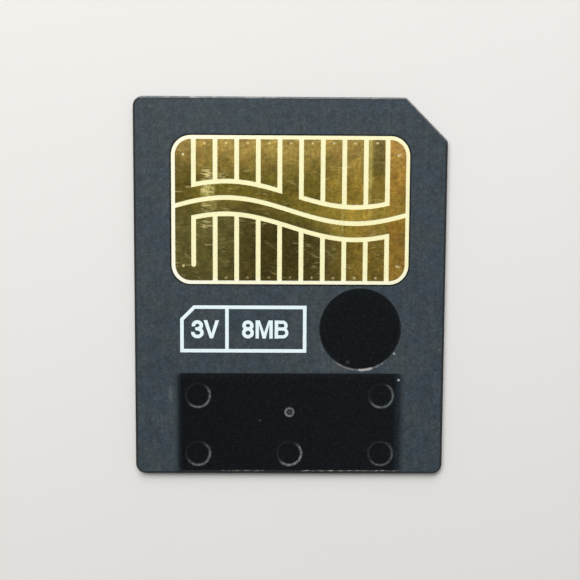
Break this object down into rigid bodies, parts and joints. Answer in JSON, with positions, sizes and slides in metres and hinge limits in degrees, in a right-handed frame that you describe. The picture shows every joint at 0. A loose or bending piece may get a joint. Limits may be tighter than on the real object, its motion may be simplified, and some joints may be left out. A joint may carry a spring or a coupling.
{
  "type": "flash memory card",
  "caption": "Thin flash memory card for a camera: clipped-corner moulded body with a gold contact plate parted by wavy lines, a round seal recess and a label recess.",
  "frame": {"origin": "middle of the back face, which is also the bottom of the card as it lies with its contacts up", "axes": "+Z out of the contact side, +Y towards the end that goes into the socket first, +X to the right with the contacts up and that end away, towards the clipped corner"},
  "size_m": [0.037, 0.045, 0.0008],
  "materials": {
    "body_plastic": "finely textured, with polished recess floors",
    "laminate": "smooth glass-epoxy laminate",
    "gold": "satin gold plating, scratched",
    "ink": "matt screen print",
    "film": "clear amber adhesive",
    "silicon": "polished",
    "paste": "silver-filled resin",
    "gold_wire": "bright drawn wire",
    "resin": "moulded black resin"
  },
  "bodies": {
    "root": {"base_card": "body_plastic", "bonding_film": "film", "contact_board": "laminate", "contact_supply": "gold", "contact_ground": "gold", "contact_02": "gold", "contact_03": "gold", "contact_04": "gold", "contact_05": "gold", "contact_06": "gold", "contact_07": "gold", "contact_08": "gold", "contact_09": "gold", "contact_13": "gold", "contact_14": "gold", "contact_15": "gold", "contact_16": "gold", "contact_18": "gold", "contact_19": "gold", "contact_20": "gold", "contact_21": "gold", "memory_die": "silicon", "die_paste": "paste", "bond_wires": "gold_wire", "moulded_resin": "resin", "printed_frame": "ink"}
  },
  "joints": []
}
